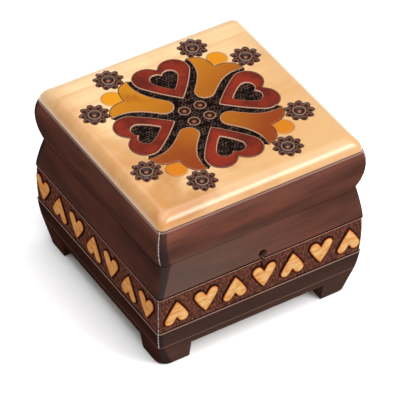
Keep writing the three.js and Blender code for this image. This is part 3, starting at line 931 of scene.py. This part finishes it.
def bandLayers(tree, flat, z, outside, facesFront):
    # over the stain: the punched ground, the hearts with a burnt line round each, the dark lines
    # beside the band, and painted highlights on the edges beside the band and at the crease
    low, high = form["bandBottom"], form["bandTop"]
    heart = fieldOf(tree, "heart")
    inBand = z.window((low - 0.15, low + 0.15), (high - 0.15, high + 0.15)) * outside
    ground = flat.grain((1.1, 0.35, 1), 4, 0.7).fade(0.4, 0.7).mix(stain, "ground", "groundRed")
    burnt = inBand * heart.window((-0.1, 0.15), (0.45, 1.15)) * stain["burntWeight"]
    wood = flat.grain((0.2, 0.5, 1), 4, 0.6).fade(0.3, 0.65).mix(stain, "heart", "heartLight")
    # painted shade: the hearts off the front darker and deeper in colour
    golden = facesFront.inverse() * stain["offFrontHeartShadeWeight"]
    wood = wood.under(stain, ("heartEdge", heart.fade(-1.0, -0.1).calc("MAXIMUM", golden)))
    edge = z.window((low - 0.1, low + 0.05), (low + 0.35, low + 0.6)) * outside
    layers = [(ground, inBand), ("nearBlack", burnt), (wood, inBand * heart.fadeOut(-0.2, 0.05))]
    layers.append(("nearBlack", edge))
    for name, level, above, near, far, weight in stain["lines"]:
        line = z.lineAt(form[level] + above, near, far)
        layers.append((name, line * outside * weight))
    return layers


def sideFinish(name, isWall):
    # dark stain over grain that runs along the side; on the walls also the band of hearts
    material, tree, shader = newFinish(name, stain)
    along, z = fieldOf(tree, "along"), placeOf(tree)[3]
    flat = addNode(tree, "ShaderNodeCombineXYZ", {"X": along, "Y": z})
    streaks = flat.grain((0.03, 0.9, 1), 5, 0.6)
    colour = flat.grain((0.015, 0.06, 1), 3).fade(0.3, 0.75).mix(stain, "dark", "red")

    # painted reflection: a grey sheen on the upper left of the front and below its band;
    # painted shade: a darker right end of its rail; the front is the side with most painted light
    facesFront = fieldOf(tree, "paintedLight").fade(1.0, 1.04)
    highSheen = along.fadeOut(-45.0, 38.0) * z.window((47.0, 50.0), (64.0, 74.0))
    paintedSheen = highSheen + z.fadeOut(24.0, 27.0) * stain["lowSheenShare"]
    paintedEndShade = facesFront * along.fade(10.0, 55.0) * z.fade(72.0, 80.0) * stain["paintedEndShadeWeight"]
    colour = colour.under(
        stain,
        ("nearBlack", streaks.fade(0.42, 0.8) * stain["streakWeight"]),
        ("paintedSheen", paintedSheen * facesFront * stain["paintedSheenWeight"]),
    )

    outside = fieldOf(tree, "inward").fadeOut(7.0, 9.0)
    farEnd = along.fade(-1.0, 1.0)
    # painted shade on one side of each corner's rounding
    paintedCornerShadeMask = fieldOf(tree, "cornerShare").fadeOut(0.8, 1.1) * farEnd.inverse() * outside
    layers = [("nearBlack", paintedEndShade), ("paintedCornerShade", paintedCornerShadeMask * stain["paintedCornerShadeWeight"])]
    wornHighlightPart = outside
    if isWall:
        layers += bandLayers(tree, flat, z, outside, facesFront)
        crease, high = form["creaseHeight"], form["bandTop"]
        wornHighlightPart = outside * z.window((crease - 0.3, crease + 0.3), (high, high + 1))
    else:
        # painted highlight along the rail's top edge
        top = z.fade(boardBottom - 0.75, boardBottom - 0.45) * outside
        layers.append(("paintedHighlight", top * stain["topHighlightWeight"]))
    # worn edge on the other side of each corner, with a painted highlight
    breaks = flat.grain((2.5, 0.9, 1), 3, 0.7).fade(0.4, 0.56)
    wornHighlight = fieldOf(tree, "fromCorner").fadeOut(0.2, 0.75) * farEnd * wornHighlightPart * breaks
    layers.append(("wornHighlight", wornHighlight * stain["wornHighlightWeight"]))
    addColour(shader, withPaintedLight(colour, z).under(stain, *layers), streaks)
    return material


bareWood = {"light": paint(201, 169, 124), "dark": paint(176, 135, 87), "roughness": 0.6}


def bareFinish(name, stretch):
    # unstained inside: straight grain in long streaks
    material, tree, shader = newFinish(name, bareWood)
    grain = placeOf(tree)[0].grain(stretch, 5, 0.6)
    addColour(shader, grain.fade(0.3, 0.65).mix(bareWood, "dark", "light"))
    return material


lidPaint = {
    "wood": paint(201, 172, 132),
    "woodDark": paint(176, 134, 87),
    "smudge": paint(156, 106, 56),
    "edge": paint(176, 122, 66),  # along the foot of the rounded border, and as painted shade on its left side
    "burntFoot": paint(38, 20, 13),
    "red": paint(113, 32, 14),
    "redDark": paint(76, 20, 9),
    "orange": paint(114, 47, 12),
    "orangeLight": paint(163, 104, 12),
    "bud": paint(184, 120, 12),
    "budDark": paint(158, 81, 18),
    "ridge": paint(152, 117, 94),
    "ground": paint(12, 6, 5),
    # painted highlight on the rims between the punched dents
    "punchRimHighlight": paint(78, 58, 50),
    "flower": paint(36, 17, 12),
    # painted highlight in each petal
    "petalHighlight": paint(106, 66, 50),
    "ringDot": paint(126, 78, 58),
    "ringFloor": paint(46, 24, 16),
    "burnt": paint(69, 32, 18),
    "outlineEdge": (-0.1, 0.1),  # a tint fades out over these distances from its outline
    "roughness": 0.3,
    "specular": 0.02,
    "coat": 0.35,
    "borderCoat": 1.0,  # the rounded border shines more
    "coatRoughness": 0.24,
}


def plainLidWood(place, x, y, z, grain, border):
    # pale wood, darker to the right, smudged nearest the viewer, browner at its foot, with painted
    # shade on its left border; and how much redder the tints are
    acrossLid, nearLid = x - y, (x + y) * -1.0
    lowEdge = z.fadeOut(boardBottom + 0.8, boardBottom + 3.2) * border
    # painted shade on the left of the rounded border
    paintedLeftShade = x.fadeOut(-53.0, -40.0) * nearLid.fade(-15.0, 30.0)
    colour = (grain.fade(0.4, 0.8) * 0.6).mix(lidPaint, "wood", "woodDark").under(
        lidPaint,
        ("woodDark", acrossLid.fade(-30.0, 50.0) * 0.8),
        ("smudge", place.noise(38, 3).fade(0.42, 0.66) * (nearLid.fade(5.0, 75.0) * 0.65 + 0.2)),
        ("edge", lowEdge.calc("MAXIMUM", paintedLeftShade) * 0.7),
    )
    return colour, (acrossLid + nearLid * 0.4).fade(-70.0, 32.0)


def ringsAndFlowers(tree, patches):
    # the four dark rings in the middle, and the rosettes: dark cupped petals with a painted
    # highlight in each, and a paler ring
    ring, fromFlower = fieldOf(tree, "ring"), fieldOf(tree, "fromFlower")
    paintedPetalHighlight = fieldOf(tree, "petal").window((-1.3, -0.9), (-0.75, -0.35)) * 0.8
    petals = paintedPetalHighlight.mix(lidPaint, "flower", "petalHighlight")
    petals = petals.under(lidPaint, ("flower", patches.fade(0.5, 0.75) * 0.5))
    return [
        ("ringFloor", ring.fadeOut(ringMiddle - 0.4, ringMiddle)),
        ("ridge", ring.lineAt(ringMiddle, 0.15, 0.42) * 0.65),
        ("ringDot", ring.fadeOut(0.5, 1.3)),
        (petals, fieldOf(tree, "rosette").fadeOut(-0.1, 0.25)),
        ("ridge", fromFlower.lineAt(board["rosette"]["crest"], 0.15, 0.45) * 0.55),
        ("ringDot", fromFlower.fadeOut(0.6, 1.3)),
    ]


def lidBoardFinish():
    # lacquered pale wood, painted figures, and a burnt ground; every edge follows the carving
    material, tree, shader = newFinish("carved lid board", lidPaint)
    place, x, y, z = placeOf(tree)
    border = abs(x).calc("MAXIMUM", abs(y)).fade(46.0, 50.0)
    grain, patches = place.grain((14, 260, 260), 6, 0.6), place.noise(70, 4, 0.6)
    plain, redder = plainLidWood(place, x, y, z, grain, border)
    names = ("heart", "innerHeart", "tulip", "bud", "cross", "dent")
    heart, inner, tulip, bud, cross, dent = (fieldOf(tree, name) for name in names)
    figure = heart.calc("MINIMUM", tulip)
    atEdge = lidPaint["outlineEdge"]

    # punched ground, the rims between its real dents lighter as a painted highlight, and the pale
    # ridge that it leaves round the figures
    inCross, offFigure = cross.fadeOut(-0.1, 0.25), figure.fade(0.32, 0.56)
    punchMarksAndHighlight = dent.fadeOut(0.1, 0.5) * place.grain((330, 460, 330), 4, 0.7).fade(0.42, 0.6) * 0.85
    ground = punchMarksAndHighlight.mix(lidPaint, "ground", "punchRimHighlight")
    inGround, sunk = inCross * offFigure, inner.fadeOut(-0.15, 0.05)
    ridge = inCross * offFigure.inverse() * figure.fade(*atEdge)

    # red hearts with darker rims, and orange tulips that are golden at the foot
    red = patches.fade(0.4, 0.7).mix(lidPaint, "red", "redDark")
    red = red.under(lidPaint, ("redDark", heart.fade(-1.8, -0.2) * 0.75))
    flat = addNode(tree, "ShaderNodeCombineXYZ", {"X": x, "Y": y})
    radius = addNode(tree, "ShaderNodeVectorMath", {0: flat}, "Value", operation="LENGTH")
    golden = redder.inverse() * patches.fade(0.1, 0.45)
    golden = golden.calc("MAXIMUM", radius.fadeOut(10.0, 36.0) * 0.42)
    orange = golden.mix(lidPaint, "orange", "orangeLight")
    orange = orange.under(lidPaint, ("burnt", grain.fade(0.55, 0.9) * 0.35))

    # everything in the order in which it was done; only the top is painted
    budLine = bud.window((-0.15, 0.05), (0.35, 0.6)) * tulip.fade(0.0, 0.3)
    painted = plain.under(
        lidPaint,
        ((redder * 0.6).mix(lidPaint, "bud", "budDark"), bud.fadeOut(*atEdge)),
        ("burnt", budLine * 0.45),
        ("burnt", figure.window((-0.15, 0.05), (0.4, 0.7)) * 0.9),
        (ground, inGround),
        ("ridge", ridge),
        (red, heart.fadeOut(*atEdge)),
        (orange, tulip.fadeOut(*atEdge)),
        ("ridge", inner.window((-0.1, 0.05), (0.3, 0.5))),
        (ground, sunk),
        *ringsAndFlowers(tree, patches),
    )
    colour = plain.under(
        lidPaint,
        (painted, z.fade(boardTop - 3.0, boardTop - 2.6)),
        ("burntFoot", z.fadeOut(boardBottom + 0.35, boardBottom + 0.9) * border),
    )
    coat = border * (lidPaint["borderCoat"] - lidPaint["coat"]) + lidPaint["coat"]
    (coat * inGround.calc("MAXIMUM", sunk).inverse()).to(shader, "Coat Weight")
    addColour(shader, colour, grain)
    return material


metal = {
    "colour": paint(196, 158, 84),
    "dull": paint(132, 98, 50),
    "roughness": 0.32,
    "metallic": 1.0,
}


def brassFinish():
    # yellow brass with duller clouds
    material, tree, shader = newFinish("brass", metal)
    addColour(shader, placeOf(tree)[0].noise(160, 4, 0.6).fade(0.45, 0.75).mix(metal, "colour", "dull"))
    return material


wallFinish = sideFinish("stained wall", True)
railFinish = sideFinish("stained lid side", False)
bareAlongX = bareFinish("bare wood along the front", (18, 500, 900))
bareAlongY = bareFinish("bare wood along the sides", (500, 18, 900))
brass = brassFinish()
for name, wall, lidSide in zip(sides, walls, rails):
    bare = bareAlongX if name in ("front", "back") else bareAlongY
    for piece, outerFinish in ((wall, wallFinish), (lidSide, railFinish)):
        piece.data.materials.append(outerFinish)
        piece.data.materials.append(bare)
paleLid.data.materials.append(lidBoardFinish())
for name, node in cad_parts.items():
    if name == "bottom_board":
        finish = bareAlongX
    elif name.startswith("hinge") or name in ("lock_case", "lid_catch"):
        finish = brass
    else:
        continue
    for slot in node.material_slots:
        slot.material = finish
print("finishes", len(bpy.data.materials))


# Floor, light and camera

studio = {
    "floorColour": (0.97, 0.97, 0.97, 1.0),
    "sky": 0.44,
    "key": {"place": (0.3, -0.6, 1.5), "size": 1.9, "power": 27.0},
    "fill": {"place": (-0.2, 0.3, 1.6), "size": 1.4, "power": 16.0},
    "glint": {"place": (0.6, -1.0, 0.95), "size": 0.6, "power": 12.5},
}


def addFloor():
    # one large flat square
    corners = np.array([(-1, -1, 0), (1, -1, 0), (1, 1, 0), (-1, 1, 0)]) * 4000.0
    floor = makeMesh("floor", corners - (0, 0, 0.1), [np.array([[0, 1, 2, 3]])])
    material, tree, shader = newFinish("floor", {"roughness": 0.9})
    shader.inputs["Base Color"].default_value = studio["floorColour"]
    floor.data.materials.append(material)


def addLight(name):
    values = studio[name]
    light = bpy.data.lights.new(name, "AREA")
    light.size = values["size"]
    light.energy = values["power"]
    lamp = bpy.data.objects.new(name, light)
    bpy.context.scene.collection.objects.link(lamp)
    lamp.location = values["place"]
    aim = Vector((0, 0, 0.05)) - lamp.location
    lamp.rotation_mode = "QUATERNION"
    lamp.rotation_quaternion = aim.to_track_quat("-Z", "Y")


def addSky():
    world = bpy.data.worlds.new("studio")
    world.use_nodes = True
    background = world.node_tree.nodes["Background"]
    background.inputs["Color"].default_value = (1, 1, 1, 1)
    background.inputs["Strength"].default_value = studio["sky"]
    bpy.context.scene.world = world


view = {
    "azimuth": -32.59,  # degrees, 0 looks at the front
    "elevation": 41.72,
    "roll": 1.01,
    "distance": 1.5624,  # metres
    "target": (0.0012, 0.0, 0.0402),
    "lens": 293.3,
}


def addCamera():
    # stands back along the line of sight, with its level turned by the roll
    azimuth, elevation, roll = (math.radians(view[key]) for key in ("azimuth", "elevation", "roll"))
    turn = Matrix.Rotation(azimuth, 4, "Z") @ Matrix.Rotation(math.pi / 2 - elevation, 4, "X")
    place = Vector(view["target"]) + turn.to_3x3() @ Vector((0, 0, view["distance"]))
    data = bpy.data.cameras.new("camera")
    data.lens = view["lens"]
    camera = bpy.data.objects.new("camera", data)
    bpy.context.scene.collection.objects.link(camera)
    camera.matrix_world = Matrix.Translation(place) @ turn @ Matrix.Rotation(roll, 4, "Z")
    bpy.context.scene.camera = camera


addFloor()
for name in ("key", "fill", "glint"):
    addLight(name)
addSky()
addCamera()
bpy.context.scene.view_settings.view_transform = "Standard"
